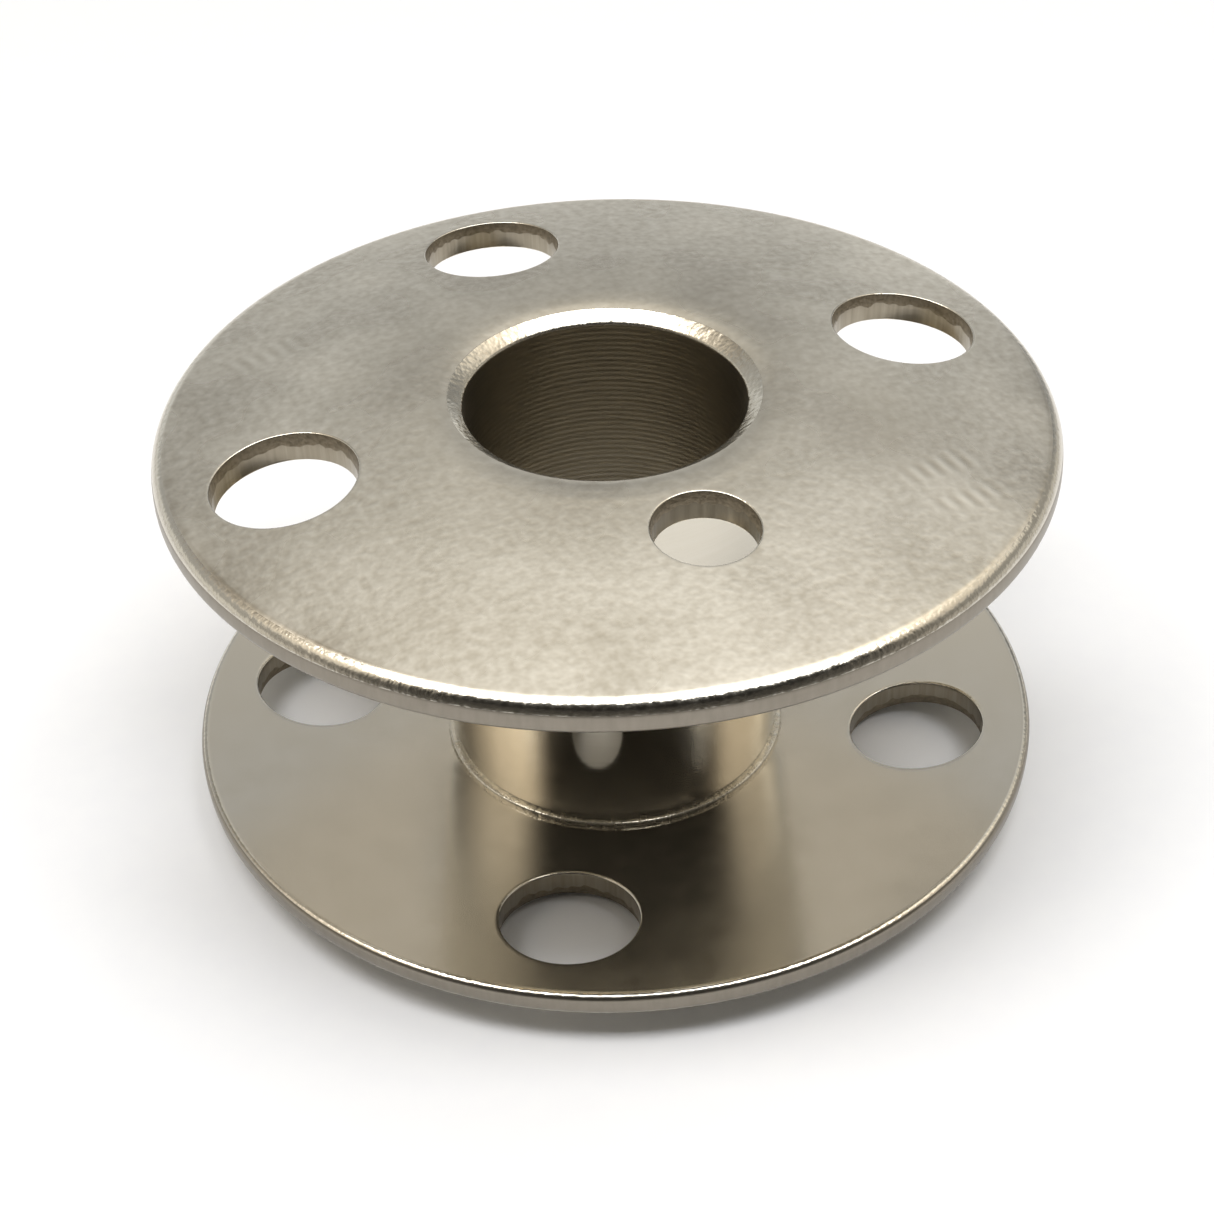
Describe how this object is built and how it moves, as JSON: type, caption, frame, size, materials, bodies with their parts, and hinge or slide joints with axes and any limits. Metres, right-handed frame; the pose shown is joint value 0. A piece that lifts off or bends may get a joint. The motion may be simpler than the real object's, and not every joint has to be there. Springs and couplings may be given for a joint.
{
  "type": "sewing machine bobbin",
  "caption": "Empty metal thread bobbin: a tubular hub swaged between two outward-domed flanges with punched round holes, made to spin on a spindle.",
  "frame": {"origin": "centre of the bore in the plane of the lower end face, which the bobbin stands on", "axes": "+Z along the bore towards the upper flange, -Y towards the small hole of the upper flange, +X to the right of it"},
  "size_m": [0.0205, 0.0204, 0.0103],
  "materials": {
    "flange_nickel": "satin nickel plate over pressed sheet",
    "hub_nickel": "bright nickel plate over a turned tube"
  },
  "bodies": {
    "root": {"hub": "hub_nickel", "upper_flange": "flange_nickel", "lower_flange": "flange_nickel"}
  },
  "joints": []
}
